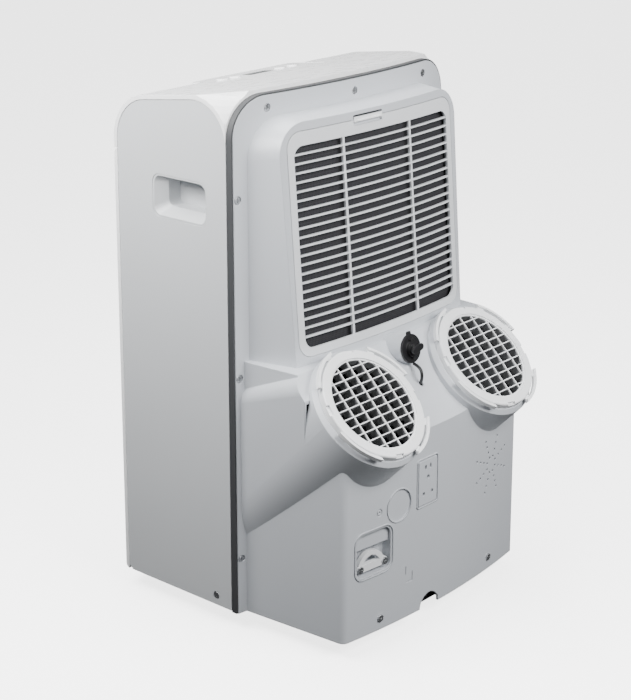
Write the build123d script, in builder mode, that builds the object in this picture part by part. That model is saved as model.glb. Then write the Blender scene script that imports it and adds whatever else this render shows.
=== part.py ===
from build123d import *
import os
from math import cos, degrees, hypot, pi, radians, sin, sqrt

# Dual-hose portable air conditioner. Millimetres, +Z up, front towards -Y,
# origin on the floor below the middle of the cabinet.

# ---- cabinet ----
BASE_Z = 22.0            # underside of the casing above the floor
HALF_W = 203.0           # half of the cabinet width
RIM = 5.5                # width of the top cover's visible rim
WALL = 3.0               # moulded wall thickness
FRONT_Y = -186.0         # front corner edge of the cabinet
NOSE_Y = -214.0          # middle of the bowed front
SIDE_FRONT_Y = FRONT_Y + RIM
SEAM_Y = 22.0            # seam between cabinet and rear housing, at the middle
SEAM_R = 1135.0          # plan radius of seam, gasket and flange
TOP_Z = 679.0            # top surface above the seam's side edge
TOP_SLOPE = 0.128        # rise of the top towards the rear
TOP_SLOPE_Y = 4.0        # where the top reaches TOP_Z
FRONT_TOP_R = 60.0       # front top corner seen from the side
REAR_TOP_R = 50.0        # rear top corner of the side panel
HOOD_Z = 590.0           # where the front panel meets the top cover
PANEL_FACE_X = 202.2     # outer face of a side panel, just inside the rim


# ---- side handles: y and z in the side view ----
HANDLE_CENTRE = (-74.5, 541.0)
HANDLE_SIZE = (92.0, 54.0)
HANDLE_R = 12.0
CUP_DEPTH = 34.0
CUP_SCREW = (-57.5, 560.0)
SIDE_SCREW = (-22.6, 37.0)

# ---- rear housing ----
GASKET = 5.0
FLANGE = 4.0
FLANGE_Y = SEAM_Y + GASKET + FLANGE
FLANGE_TOP_Z = 676.0
DOOR_Y = 70.0            # door surface at DOOR_REF_Z, on the middle plane
DOOR_REF_Z = 606.0
DOOR_TILT = 0.077        # the door leans out towards its foot
DOOR_R = 1280.0          # plan radius of the door surface
DOOR_HALF_W = 157.0
DOOR_CORNER_R = 20.0
DOOR_Z0 = 361.0
DOOR_Z1 = 633.0
OPEN_HALF_W = 147.0
OPEN_Z0 = 371.0
OPEN_Z1 = 616.0
SLOPE_Y = 88.0           # the 45 degree face starts here, at the door's foot
SLOPE_Z = 360.0
SLOPE_DIR = (0.0, 0.737, 0.676)
BACK_Y = 178.0           # rear wall of the lower box, at the middle
BACK_R = 1100.0
BOX_HALF_W = 176.0
BOX_ROOT_HALF_W = 188.0

# ---- duct ports ----
PORT_X = 113.5
PORT_Y = 152.0
PORT_Z = 307.5
PORT_AXIS = (0.0, cos(radians(45)), sin(radians(45)))
PORT_R = 80.0
PORT_LIP_R = 75.0        # the duct narrows to this at its mouth
COLLAR_R = 73.6
MOUTH_R = 62.0
COLLAR_H = 9.0
SLOT_TURN = 80.0

# ---- casters ----
CASTERS = {"fl": (154, -138), "fr": (-154, -138), "rl": (126, 104), "rr": (-126, 104)}
WHEEL_R = 16.0
WHEEL_W = 14.0
TRAIL = 11.0
WELL_R = 32.0
STEM_R = 4.0
AXLE_R = 2.5
FIT = 0.05               # radial clearance of a running fit

# ---- inside ----
DECK_Z = 330.0
BLADES = 30
FOOT_H = 12.0
COMPRESSOR_AT = (60.0, -90.0)
ACCUMULATOR_AT = (92.0, -14.0)
CONTROL_BOX_AT = (-118.0, -150.0, 180.0)
PIPE_HOLE = (107.5, -14.0)
PIPE_ROUTES = [
    ([(60, -90, 248), (60, -90, 290), (60, -30, 290), (60, 50, 250), (60, 91, 220)], 4.0, 14),
    ([(92, -14, 196), (92, -14, 300), (122, -14, 360), (122, 6, 380)], 5.0, 14),
]

# ---- drain, screws ----
STUB_MOUTH = (0.0, 122.0, 344.0)
STUB_TILT = radians(12)
STUB_R = 19.0
STUB_BORE = 16.0
STRAP_END = (0.0, 141.0, 302.2)
STRAP_R = 2.0
STRAP_ROUTE = [(0, 128.9, 325.4), (2.5, 141.5, 324.5), (6, 147.5, 313.0), (0, 139.5, 301.0)]
TRAY_DRAIN = (0.0, 120.0)
SCREW_R = 2.2
HEAD_R = 4.6

# ---- front outlet ----
OUTLET_HALF_W = 141.0
OUTLET_Z0 = 484.0
OUTLET_Z1 = 562.0
OUTLET_REAR_Y = -140.0
LOUVRE_Y = -187.0
LOUVRE_Z = (497.0, 523.0, 549.0)
VANE_X = (-105.0, -35.0, 35.0, 105.0)
VANE_Y = -158.0
VANE_ARM = 9.0           # from a vane's pivot to its link pin
PIN_R = 2.0

# ---- controls ----
CONTROL_SIZE = (190.0, 66.0)
WINDOW_SIZE = (44.0, 18.0)
PANEL_Y = -128.0
BUTTONS = {"power_button": -62.0, "mode_button": -38.0, "up_button": 46.0, "down_button": 70.0}
BUTTON_R = 7.0

# ---- blowers ----
EVAP_FAN = (0.0, -62.0, 440.0)
COND_FAN = (-92.0, -30.0, 178.0)


def save(builder, name):
    builder.part.label = name
    export_step(builder.part, f"parts/{name}.step")


def rear_plane(y):
    """Upright plane facing the rear; its local x runs towards -X, its local y is Z."""
    return Plane(origin=(0, y, 0), x_dir=(-1, 0, 0), z_dir=(0, 1, 0))


def bow(centre, radius, x):
    """Y of a plan curve that reaches centre on the middle plane and falls off sideways."""
    return centre - (radius - sqrt(radius**2 - x**2))


def top_z(y):
    return TOP_Z + TOP_SLOPE * (y - TOP_SLOPE_Y)


def bowed_slab(centre, radius, depth, z0, z1, half_w=HALF_W + 7):
    """Upright slab bowed towards the rear, its rear face through centre."""
    with BuildPart() as slab:
        with BuildSketch(Plane.XY.offset(z0)):
            with BuildLine():
                y_end = bow(centre, radius, half_w)
                rear = ThreePointArc((-half_w, y_end), (0, centre), (half_w, y_end))
                front = ThreePointArc((-half_w, y_end - depth), (0, centre - depth), (half_w, y_end - depth))
                Line(rear @ 0, front @ 0)
                Line(rear @ 1, front @ 1)
            make_face()
        extrude(amount=z1 - z0)
    return slab.part


def door_slab(outer, inner):
    """Leaning bowed slab between two offsets of the door surface (negative is inside)."""
    lean = Plane(origin=(0, DOOR_Y, DOOR_REF_Z), x_dir=(1, 0, 0), z_dir=(0, -DOOR_TILT, 1))
    half_w = 230.0
    with BuildPart() as slab:
        with BuildSketch(lean.offset(-420)):
            with BuildLine():
                y_end = bow(0, DOOR_R, half_w)
                rear = ThreePointArc((-half_w, y_end + outer), (0, outer), (half_w, y_end + outer))
                front = ThreePointArc((-half_w, y_end + inner), (0, inner), (half_w, y_end + inner))
                Line(rear @ 0, front @ 0)
                Line(rear @ 1, front @ 1)
            make_face()
        extrude(amount=560)
    return slab.part


def arch_prism(half_w, z0, z1, radius, y0, y1):
    """Prism along Y with round top corners."""
    with BuildPart() as prism:
        with BuildSketch(rear_plane(y0)) as outline:
            with Locations((0, (z0 + z1) / 2)):
                Rectangle(2 * half_w, z1 - z0)
            fillet(outline.vertices().group_by(Axis.Y)[-1], radius)
        extrude(amount=y1 - y0)
    return prism.part


def slope_plane(offset=0.0):
    return Plane(origin=(0, SLOPE_Y, SLOPE_Z), x_dir=(1, 0, 0), z_dir=SLOPE_DIR).offset(offset)


def port_plane(side, offset=0.0):
    base = Plane(origin=(side * PORT_X, PORT_Y, PORT_Z), x_dir=(1, 0, 0), z_dir=PORT_AXIS)
    return base.offset(offset)


# ---- rear housing form, used for its outside and, inset, for its hollow ----
def lower_box(inset, z0):
    with BuildPart() as box:
        with BuildSketch(Plane.XY.offset(z0)):
            with BuildLine():
                side = BOX_HALF_W - inset
                root = BOX_ROOT_HALF_W - inset
                y_end = bow(BACK_Y - inset, BACK_R, side)
                rear = ThreePointArc((-side, y_end), (0, BACK_Y - inset), (side, y_end))
                Polyline(rear @ 0, (-root, 0), (root, 0), rear @ 1)
            make_face()
        extrude(amount=330)
        split(bisect_by=slope_plane(-inset), keep=Keep.BOTTOM)
        rear_edges = box.edges().filter_by(Axis.Z).sort_by(Axis.Y)[-2:]
        fillet(rear_edges, 9 - inset)
    return box.part


def hump(inset):
    with BuildPart() as form:
        for y, half_w, top, radius in ((-2.0, 184.0, 650.0, 54.0), (110.0, 156.0, 640.0, 26.0)):
            with BuildSketch(rear_plane(y)) as outline:
                with Locations((0, (250 + top - inset) / 2)):
                    Rectangle(2 * (half_w - inset), top - inset - 250)
                fillet(outline.vertices().group_by(Axis.Y)[-1], radius - inset)
        loft(ruled=True)
        add(door_slab(-inset, -200), mode=Mode.INTERSECT)
    return form.part


def duct(side, inset):
    with BuildPart() as tube:
        with BuildSketch(port_plane(side, -inset)):
            Circle(PORT_R - inset)
        extrude(amount=-230)
        chamfer(tube.edges().sort_by(Axis.Z)[-1], PORT_R - PORT_LIP_R)
    return tube.part


def side_flare(side, inset):
    """Fairing that carries the duct's outer side up to a rounded shoulder beside the hump."""
    duct_x = PORT_X + PORT_R - inset
    with BuildPart() as wedge:
        for y, top in ((-2.0, 318.0), (118.0, 360.0)):
            foot = PORT_Z - (PORT_Y - y)
            points = [(120, foot), (duct_x, foot), (duct_x, top - inset), (120, top - inset)]
            with BuildSketch(rear_plane(y)) as outline:
                with BuildLine():
                    Polyline([(-side * x, z) for x, z in points], close=True)
                make_face()
                corners = outline.vertices().sort_by_distance((-side * duct_x, top - inset, 0))
                fillet(corners[0], 24 - inset)
        loft(ruled=True)
        split(bisect_by=slope_plane(-inset), keep=Keep.BOTTOM)
    return wedge.part


def housing_form(inset, z0):
    with BuildPart() as form:
        add(lower_box(inset, z0))
        add(hump(inset))
        for side in (-1, 1):
            add(duct(side, inset))
            add(side_flare(side, inset))
    return form.part


# ---- small features of the lower box's rear wall (x, z of each) ----
PLATE = (32.0, 192.5, 38.0, 62.0)
ROUND_RECESS = (84.0, 176.7, 20.5)
POCKET = (127.0, 128.0, 62.0, 60.0)
RAISED_RIMS = [
    (84.0, 176.7, 41.0, 41.0, 20.4),
    (32.0, 192.5, 38.0, 62.0, 3.0),
    (127.0, 128.0, 62.0, 60.0, 13.0),
]
BOSS = (118.5, 177.4, 4.6)
ARROW = (66.0, 80.0)
SUNBURST = (-110.0, 168.0)
NOTCH_X = 25.0
NOTCH_R = 18.0
POCKET_R = 13.0
LATCH_HALF_W = 26.0
LATCH_IN = 7.0
CLEAT_AT = (127.0, 116.5)
CLEAT_SCREW_X = 20.5
POCKET_DEPTH = 17.0
FLANGE_SCREWS = [(x, 658.5) for x in (-149, 0, 149)]
FLANGE_SCREWS += [(side * 193.8, z) for side in (-1, 1) for z in (95, 331, 553)]
BACK_SCREWS = [(116, 37.5), (-107, 39.0)]
LATCH_X = 19.0


def sunburst_holes():
    """Eight rays of four small holes, as places on the rear wall."""
    places = []
    for ray in range(8):
        angle = radians(22.5 + 45 * ray)
        for step in range(4):
            reach = 11.0 + 9.0 * step
            places.append((SUNBURST[0] + reach * sin(angle), SUNBURST[1] + reach * cos(angle)))
    return places


def door_prism(half_w, z0, z1, radius, outer, inner, x=0.0):
    """Rounded rectangle seen from the rear, bowed and tilted like the door surface."""
    with BuildPart() as prism:
        with BuildSketch(rear_plane(20)):
            with Locations((-x, (z0 + z1) / 2)):
                RectangleRounded(2 * half_w, z1 - z0, radius)
        extrude(amount=120)
        add(door_slab(outer, inner), mode=Mode.INTERSECT)
    return prism.part


def back_plane(x, z, offset=0.0):
    """Plane on the bowed rear wall of the lower box, facing out."""
    y = bow(BACK_Y, BACK_R, x)
    out = (x / BACK_R, sqrt(1 - (x / BACK_R) ** 2), 0)
    return Plane(origin=(x, y, z), x_dir=(-out[1], out[0], 0), z_dir=out).offset(offset)


def stub_plane(offset=0.0):
    """Plane across the drain stub, facing out of its mouth."""
    base = Plane(origin=STUB_MOUTH, x_dir=(1, 0, 0), z_dir=(0, cos(STUB_TILT), sin(STUB_TILT)))
    return base.offset(offset)


def back_details():
    """Shallow marks and holes of the lower box's rear wall, as one solid to cut away."""
    with BuildPart() as cuts:
        x, z, width, height = PLATE
        with BuildSketch(back_plane(x, z, 1)):
            RectangleRounded(width, height, 3)
            RectangleRounded(width - 3, height - 3, 2, mode=Mode.SUBTRACT)
        extrude(amount=-1.9)
        with BuildSketch(back_plane(x, z, 1)):
            with Locations((4.5, 19.5), (-4.5, 19.5)):
                SlotOverall(6, 3, rotation=90)
            with Locations((0, 6), (-8, -15), (8, -15)):
                Circle(2.4)
        extrude(amount=-9)
        x, z, radius = ROUND_RECESS
        with BuildSketch(back_plane(x, z, 1)):
            Circle(radius)
        extrude(amount=-2.4)
        with BuildSketch(back_plane(BOSS[0], BOSS[1], 1)):
            Circle(BOSS[2])
            Circle(BOSS[2] - 1.2, mode=Mode.SUBTRACT)
            Circle(1.2)
        extrude(amount=-1.9)
        with BuildSketch(back_plane(*ARROW, 1)):
            with Locations((-5, 5), (7, -5)):
                Rectangle(1.2, 12)
            with Locations((2, -11)):
                Rectangle(11, 1.2)
        extrude(amount=-1.7)
        with BuildSketch(rear_plane(BACK_Y - 40)):
            with Locations([(-x, z) for x, z in sunburst_holes()]):
                Circle(1.7)
            with Locations((-NOTCH_X, BASE_Z)):
                Circle(NOTCH_R)
            with Locations((-NOTCH_X + 10, BASE_Z + 4)):
                Rectangle(16, 8)
        extrude(amount=60)
        for x, z in BACK_SCREWS:
            with BuildSketch(back_plane(x, z, 1)):
                Circle(SCREW_R + 0.3)
            extrude(amount=-10)
        x, z, width, height = POCKET
        with BuildSketch(rear_plane(BACK_Y - 60)):
            with Locations((-x, z)):
                RectangleRounded(width, height, POCKET_R)
        extrude(amount=80)
    return cuts.part


def make_rear_housing():
    with BuildPart() as flange:
        add(arch_prism(HALF_W - 3.4, BASE_Z, FLANGE_TOP_Z - 2.4, REAR_TOP_R - 2.4, -20, 60))
        add(bowed_slab(FLANGE_Y, SEAM_R, FLANGE, 0, 800), mode=Mode.INTERSECT)
    with BuildPart() as housing:
        add(housing_form(0, BASE_Z))
        add(bowed_slab(FLANGE_Y - FLANGE / 2, SEAM_R, 320, -10, 800, 260), mode=Mode.SUBTRACT)
        add(flange.part)
        add(housing_form(WALL, BASE_Z - 10), mode=Mode.SUBTRACT)
        # recess for the filter door, and the ledge it closes against
        add(door_prism(DOOR_HALF_W + 5, DOOR_Z0 - 5, DOOR_Z1 + 4, DOOR_CORNER_R + 4, -1, -7))
        add(door_prism(DOOR_HALF_W + 0.6, DOOR_Z0 - 0.6, DOOR_Z1 + 0.6, DOOR_CORNER_R + 0.6, 20, -3.4), mode=Mode.SUBTRACT)
        add(door_prism(OPEN_HALF_W + 3, OPEN_Z0 - 3, OPEN_Z1 + 3, 8, 20, -20), mode=Mode.SUBTRACT)
        add(door_prism(LATCH_HALF_W + 1, DOOR_Z1 - 4, DOOR_Z1 + 6, 2, 20, -20, LATCH_X), mode=Mode.SUBTRACT)
        # duct mouths
        for side in (-1, 1):
            with BuildSketch(port_plane(side, 2)):
                Circle(MOUTH_R + 2)
            extrude(amount=-8, mode=Mode.SUBTRACT)
        # drain stub and strap holes
        with BuildSketch(stub_plane(5)):
            Circle(STUB_R)
        extrude(amount=-62, mode=Mode.SUBTRACT)
        with BuildSketch(Plane(origin=STRAP_END, x_dir=(1, 0, 0), z_dir=SLOPE_DIR).offset(-6)):
            Circle(STRAP_R + 1.3)
        extrude(amount=12, mode=Mode.SUBTRACT)
        # raised rims round the recess, the plate and the pocket
        for x, z, width, height, radius in RAISED_RIMS:
            with BuildSketch(back_plane(x, z, -1)):
                RectangleRounded(width + 3, height + 3, radius + 1.5)
            extrude(amount=1.8)
        add(back_details(), mode=Mode.SUBTRACT)
        # counterbored screw holes through the flange
        for x, z in FLANGE_SCREWS:
            y = bow(FLANGE_Y, SEAM_R, x)
            for radius, start in ((SCREW_R + 0.3, -20), (HEAD_R + 0.4, -2.2)):
                with BuildSketch(rear_plane(y + start)):
                    with Locations((-x, z)):
                        Circle(radius)
                extrude(amount=30, mode=Mode.SUBTRACT)
    return housing


def make_body_gasket():
    with BuildPart() as lip:
        add(arch_prism(HALF_W - 1.2, BASE_Z, FLANGE_TOP_Z - 0.2, REAR_TOP_R - 0.2, -20, 60))
        add(arch_prism(HALF_W - 3.2, BASE_Z - 5, FLANGE_TOP_Z - 2.2, REAR_TOP_R - 2.2, -30, 70), mode=Mode.SUBTRACT)
        add(bowed_slab(FLANGE_Y - 0.8, SEAM_R, GASKET + FLANGE - 0.8, 0, 800), mode=Mode.INTERSECT)
    with BuildPart() as gasket:
        add(arch_prism(HALF_W - 2.5, BASE_Z, FLANGE_TOP_Z - 1.5, REAR_TOP_R - 1, -20, 60))
        add(arch_prism(HALF_W - 13, BASE_Z - 5, FLANGE_TOP_Z - 12, REAR_TOP_R - 12, -30, 70), mode=Mode.SUBTRACT)
        add(bowed_slab(SEAM_Y + GASKET, SEAM_R, GASKET, 0, 800), mode=Mode.INTERSECT)
        add(lip.part)
        with BuildSketch(rear_plane(-20)):
            with Locations([(-x, z) for x, z in FLANGE_SCREWS]):
                Circle(SCREW_R + 0.3)
        extrude(amount=80, mode=Mode.SUBTRACT)
    return gasket


# ---- cabinet shells ----
def arc_point(centre, radius, angle):
    return (centre[0] + radius * cos(radians(angle)), centre[1] + radius * sin(radians(angle)))


def side_outline(inset):
    """Side view of the cabinet, inset evenly: (front foot, arch points, rear foot)."""
    front = FRONT_Y + inset
    radius = FRONT_TOP_R - inset
    top_angle = 90 + degrees(TOP_SLOPE)
    front_centre = (FRONT_Y + FRONT_TOP_R, top_z(FRONT_Y + FRONT_TOP_R) - FRONT_TOP_R)
    return front, radius, front_centre, top_angle


def panel_outline():
    """Side panel's outline: round top corners, the rear edge along the seam."""
    front, radius, centre, top_angle = side_outline(RIM)
    rear = bow(SEAM_Y, SEAM_R, HALF_W) - 0.2
    rear_centre = (rear - REAR_TOP_R, top_z(rear - REAR_TOP_R) - RIM - REAR_TOP_R)
    foot = BASE_Z + 2
    with BuildLine() as outline:
        start = (front, centre[1])
        top_a = arc_point(centre, radius, top_angle)
        top_b = arc_point(rear_centre, REAR_TOP_R, top_angle)
        ThreePointArc(start, arc_point(centre, radius, 138), top_a)
        Line(top_a, top_b)
        ThreePointArc(top_b, arc_point(rear_centre, REAR_TOP_R, 45), (rear, rear_centre[1]))
        Polyline((rear, rear_centre[1]), (rear, foot), (front + 6, foot), (front, foot + 6), start)
    return outline.line


def make_side_panel(side, name):
    with BuildPart() as panel:
        with BuildSketch(Plane.YZ.offset(side * PANEL_FACE_X)):
            add(panel_outline())
            make_face()
        extrude(amount=-side * WALL)
        with BuildSketch(Plane.YZ.offset(side * 190)):
            with Locations(HANDLE_CENTRE):
                RectangleRounded(*HANDLE_SIZE, HANDLE_R)
            with Locations(SIDE_SCREW):
                Circle(SCREW_R + 0.3)
        extrude(amount=side * 30, mode=Mode.SUBTRACT)
        with BuildSketch(Plane.YZ.offset(side * (PANEL_FACE_X - 1.6))):
            with Locations(SIDE_SCREW):
                Circle(HEAD_R + 0.4)
        extrude(amount=side * 10, mode=Mode.SUBTRACT)
    save(panel, name)


def make_handle_cup(side, name):
    """Recessed grip: a deep cup with sloping lower and front lips, flush in the panel."""
    y, z = HANDLE_CENTRE
    width, height = HANDLE_SIZE
    face = side * (PANEL_FACE_X - 0.4)
    with BuildPart() as cup:
        with BuildSketch(Plane.YZ.offset(face)):
            with Locations((y, z)):
                RectangleRounded(width - 0.4, height - 0.4, HANDLE_R)
        extrude(amount=-side * CUP_DEPTH)
        # the grip hollow
        with BuildSketch(Plane.YZ.offset(face + side)):
            with Locations((y + 6, z + 5)):
                RectangleRounded(width - 20, height - 16, HANDLE_R - 4)
        extrude(amount=-side * (CUP_DEPTH - 1.5), mode=Mode.SUBTRACT)
        # its mouth flares out to the front and down
        with BuildSketch(Plane.YZ.offset(face)) as mouth:
            with Locations((y, z)):
                RectangleRounded(width - 5, height - 5, HANDLE_R - 1.5)
        with BuildSketch(Plane.YZ.offset(face - side * 12)) as throat:
            with Locations((y + 6, z + 5)):
                RectangleRounded(width - 20, height - 16, HANDLE_R - 4)
        loft(mode=Mode.SUBTRACT)
        with BuildSketch(Plane.YZ.offset(face - side * (CUP_DEPTH + 5))):
            with Locations(CUP_SCREW):
                Circle(SCREW_R + 0.3)
        extrude(amount=side * 10, mode=Mode.SUBTRACT)
    save(cup, name)


def corner_cutter(side):
    """Material outside the concave rear corner, between the side arch and the rear arch."""
    arch_y = bow(SEAM_Y, SEAM_R, HALF_W)
    side_r = REAR_TOP_R + RIM
    side_y = arch_y - REAR_TOP_R
    side_z = top_z(side_y) - side_r
    rear_x = HALF_W - REAR_TOP_R
    rear_z = TOP_Z - REAR_TOP_R
    far = HALF_W + 12
    with BuildPart() as cutter:
        for z in (rear_z + 1, rear_z + 16, rear_z + 27, rear_z + 35, rear_z + 41, rear_z + 45, rear_z + 62):
            rise = min(z - side_z, side_r)
            y = min(side_y + sqrt(side_r**2 - rise**2), arch_y)
            x = rear_x + sqrt(max(REAR_TOP_R**2 - (z - rear_z) ** 2, 0))
            seam = bow(SEAM_Y, SEAM_R, x)
            points = [(HALF_W, y), (x, seam), (x, 45), (far, 45), (far, y)]
            with BuildSketch(Plane.XY.offset(z)):
                with BuildLine():
                    Polyline([(side * px, py) for px, py in points], close=True)
                make_face()
        loft(ruled=True)
    return cutter.part


def hood_profile(inset, rear):
    """Closed side view of the top cover's outside, inset evenly."""
    front, radius, centre, top_angle = side_outline(inset)
    with BuildLine() as outline:
        start = (front, HOOD_Z)
        arch = (front, centre[1])
        top = arc_point(centre, radius, top_angle)
        Line(start, arch)
        ThreePointArc(arch, arc_point(centre, radius, 138), top)
        Polyline(top, (rear, top_z(rear) - inset), (rear, HOOD_Z), start)
    return outline.line


def top_plane(x, y, offset=0.0):
    """Plane on the sloping top, facing up."""
    return Plane(origin=(x, y, top_z(y)), x_dir=(1, 0, 0), z_dir=(0, -TOP_SLOPE, 1)).offset(offset)


def corner_block(side, foot_z):
    """Filling of a rear top corner up to the hood's underside, hollow from below."""
    with BuildPart() as block:
        with BuildSketch(Plane.YZ.offset(side * (HALF_W - 50))):
            with BuildLine():
                Polyline((-56, foot_z), (28, foot_z), (28, top_z(28) - 1), (-56, top_z(-56) - 1), close=True)
            make_face()
        extrude(amount=side * 50)
        with BuildSketch(Plane.XY.offset(foot_z - 1)):
            with Locations((side * (HALF_W - 28), -32)):
                Rectangle(36, 56)
        extrude(amount=38, mode=Mode.SUBTRACT)
    return block.part


def make_top_cover():
    corner_z = TOP_Z - REAR_TOP_R - 6
    with BuildPart() as cover:
        with BuildSketch(Plane.YZ):
            add(hood_profile(0, 40))
            make_face()
        extrude(amount=HALF_W, both=True)
        with BuildSketch(Plane.YZ):
            add(hood_profile(RIM, 60))
            make_face()
        extrude(amount=HALF_W + 5, both=True, mode=Mode.SUBTRACT)
        # rear corner pieces, hollow from below
        for side in (-1, 1):
            add(corner_block(side, corner_z))
            with BuildSketch(Plane.YZ.offset(side * (PANEL_FACE_X - WALL - 0.2))):
                add(panel_outline())
                make_face()
            extrude(amount=side * 10, mode=Mode.SUBTRACT)
            add(corner_cutter(side), mode=Mode.SUBTRACT)
        add(bowed_slab(SEAM_Y + 60, SEAM_R, 60.1, 0, 800, 240), mode=Mode.SUBTRACT)
        # control panel recess and button holes
        with BuildSketch(top_plane(0, PANEL_Y, -2.2)):
            RectangleRounded(*CONTROL_SIZE, 8)
        extrude(amount=10, mode=Mode.SUBTRACT)
        with BuildSketch(top_plane(0, PANEL_Y, -20)):
            with Locations([(x, 0) for x in BUTTONS.values()]):
                Circle(BUTTON_R + 0.4)
        extrude(amount=40, mode=Mode.SUBTRACT)
    save(cover, "top_cover")


def make_control_panel():
    with BuildPart() as panel:
        with BuildSketch(top_plane(0, PANEL_Y, -2.1)):
            RectangleRounded(CONTROL_SIZE[0] - 0.6, CONTROL_SIZE[1] - 0.6, 7.7)
            with Locations([(x, 0) for x in BUTTONS.values()]):
                Circle(BUTTON_R + 0.4, mode=Mode.SUBTRACT)
        extrude(amount=2.1)
        with BuildSketch(top_plane(0, PANEL_Y, -1.0)):
            with Locations((4, 0)):
                RectangleRounded(*WINDOW_SIZE, 3)
        extrude(amount=2, mode=Mode.SUBTRACT)
    save(panel, "control_panel")
    with BuildPart() as window:
        with BuildSketch(top_plane(0, PANEL_Y, -1.0)):
            with Locations((4, 0)):
                RectangleRounded(WINDOW_SIZE[0] - 0.2, WINDOW_SIZE[1] - 0.2, 2.9)
        extrude(amount=1.0)
    save(window, "display_window")
    for name, x in BUTTONS.items():
        with BuildPart() as button:
            with BuildSketch(top_plane(0, PANEL_Y, -8.0)):
                with Locations((x, 0)):
                    Circle(BUTTON_R + 1.6)
            extrude(amount=1.5)
            with BuildSketch(top_plane(0, PANEL_Y, -6.5)):
                with Locations((x, 0)):
                    Circle(BUTTON_R)
            extrude(amount=8.1)
            fillet(button.edges().group_by(Axis.Z)[-1], 0.6)
        save(button, name)


def front_form(inset, rear):
    """Bowed front shell's form, inset evenly, with soft upper and lower edges."""
    nose = NOSE_Y + inset
    edge = FRONT_Y + inset
    half_w = HALF_W - inset
    with BuildPart() as form:
        with BuildSketch(Plane.XY.offset(BASE_Z + 2 + inset)):
            with BuildLine():
                arc = ThreePointArc((-half_w, edge), (0, nose), (half_w, edge))
                Polyline(arc @ 0, (-half_w, rear), (half_w, rear), arc @ 1)
            make_face()
        extrude(amount=HOOD_Z - BASE_Z - 2.3 - 2 * inset)
        arcs = form.edges().filter_by(GeomType.CIRCLE).sort_by(Axis.Z)
        fillet(arcs[-1], 7 - inset)
        fillet(arcs[0], 7 - inset)
    return form.part


def make_front_panel():
    outlet_h = OUTLET_Z1 - OUTLET_Z0
    outlet_z = (OUTLET_Z0 + OUTLET_Z1) / 2
    with BuildPart() as duct_block:
        with BuildSketch(Plane.XZ.offset(-OUTLET_REAR_Y)):
            with Locations((0, outlet_z)):
                Rectangle(2 * OUTLET_HALF_W + 6, outlet_h + 6)
        extrude(amount=70)
        add(front_form(1, OUTLET_REAR_Y + 10), mode=Mode.INTERSECT)
    with BuildPart() as panel:
        add(front_form(0, SIDE_FRONT_Y - 0.1))
        add(front_form(WALL, OUTLET_REAR_Y), mode=Mode.SUBTRACT)
        # outlet duct behind the front opening, with pivot holes for louvres and vanes
        add(duct_block.part)
        with BuildSketch(Plane.XZ.offset(-OUTLET_REAR_Y - 5)):
            with Locations((0, outlet_z)):
                RectangleRounded(2 * OUTLET_HALF_W, outlet_h, 4)
        extrude(amount=150, mode=Mode.SUBTRACT)
        with BuildSketch(Plane.YZ):
            with Locations([(LOUVRE_Y, z) for z in LOUVRE_Z]):
                Circle(PIN_R + FIT)
        extrude(amount=OUTLET_HALF_W + 10, both=True, mode=Mode.SUBTRACT)
        with BuildSketch(Plane.XY.offset(OUTLET_Z0 - 10)):
            with Locations([(x, VANE_Y) for x in VANE_X]):
                Circle(PIN_R + FIT)
        extrude(amount=outlet_h + 20, mode=Mode.SUBTRACT)
    save(panel, "front_panel")


def make_louvre(number, z):
    """Outlet louvre: a slim leaf with a pivot pin at each end."""
    with BuildPart() as louvre:
        with BuildSketch(Plane.YZ):
            with Locations((LOUVRE_Y, z)):
                Ellipse(11, 1.6)
                Circle(PIN_R)
        extrude(amount=OUTLET_HALF_W - 1, both=True)
        with BuildSketch(Plane.YZ):
            with Locations((LOUVRE_Y, z)):
                Circle(PIN_R)
        extrude(amount=OUTLET_HALF_W + 2.6, both=True)
    save(louvre, f"louvre_{number}")


def make_vane(number, x):
    """Upright outlet vane: pivot pins above and below, link pin in a notch behind."""
    mid = (OUTLET_Z0 + OUTLET_Z1) / 2
    height = OUTLET_Z1 - OUTLET_Z0
    with BuildPart() as vane:
        with Locations((x, VANE_Y, mid)):
            Box(1.8, 24, height - 2)
            Cylinder(PIN_R, height + 5)
        with Locations((x, VANE_Y + 10, mid)):
            Box(4, 12.2, 14, mode=Mode.SUBTRACT)
        with Locations((x, VANE_Y + VANE_ARM, mid)):
            Cylinder(1.25, 18)
    save(vane, f"vane_{number}")


def make_vane_link():
    mid = (OUTLET_Z0 + OUTLET_Z1) / 2
    with BuildPart() as link:
        with Locations((0, VANE_Y + VANE_ARM - 0.2, mid)):
            Box(2 * VANE_X[-1] + 14, 8, 3)
        with Locations([(x, VANE_Y + VANE_ARM - 0.7, mid) for x in VANE_X]):
            Box(4, 5, 6, mode=Mode.SUBTRACT)
    save(link, "vane_link")


# ---- filter door and latch ----
def make_filter_door():
    pitch = 11.01
    slats = [OPEN_Z1 - 10.1 - pitch * i for i in range(21)]
    with BuildPart() as bars:
        with Locations([(0, 90, z) for z in slats]):
            Box(2 * OPEN_HALF_W + 4, 120, 1.9)
        add(door_slab(-0.4, -4.2), mode=Mode.INTERSECT)
    with BuildPart() as ribs:
        with Locations([(x, 90, (OPEN_Z0 + OPEN_Z1) / 2) for x in (-64, 64)]):
            Box(3.6, 120, OPEN_Z1 - OPEN_Z0 + 4)
        add(door_slab(-0.9, -3.8), mode=Mode.INTERSECT)
    with BuildPart() as door:
        add(door_prism(DOOR_HALF_W, DOOR_Z0, DOOR_Z1, DOOR_CORNER_R, 0, -3))
        add(door_prism(OPEN_HALF_W, OPEN_Z0, OPEN_Z1, 14, 20, -20), mode=Mode.SUBTRACT)
        add(bars.part)
        add(ribs.part)
        with Locations((LATCH_X, 70, DOOR_Z1)):
            Box(2 * LATCH_HALF_W + 1, 60, 2 * LATCH_IN, mode=Mode.SUBTRACT)
    save(door, "filter_door")


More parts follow.
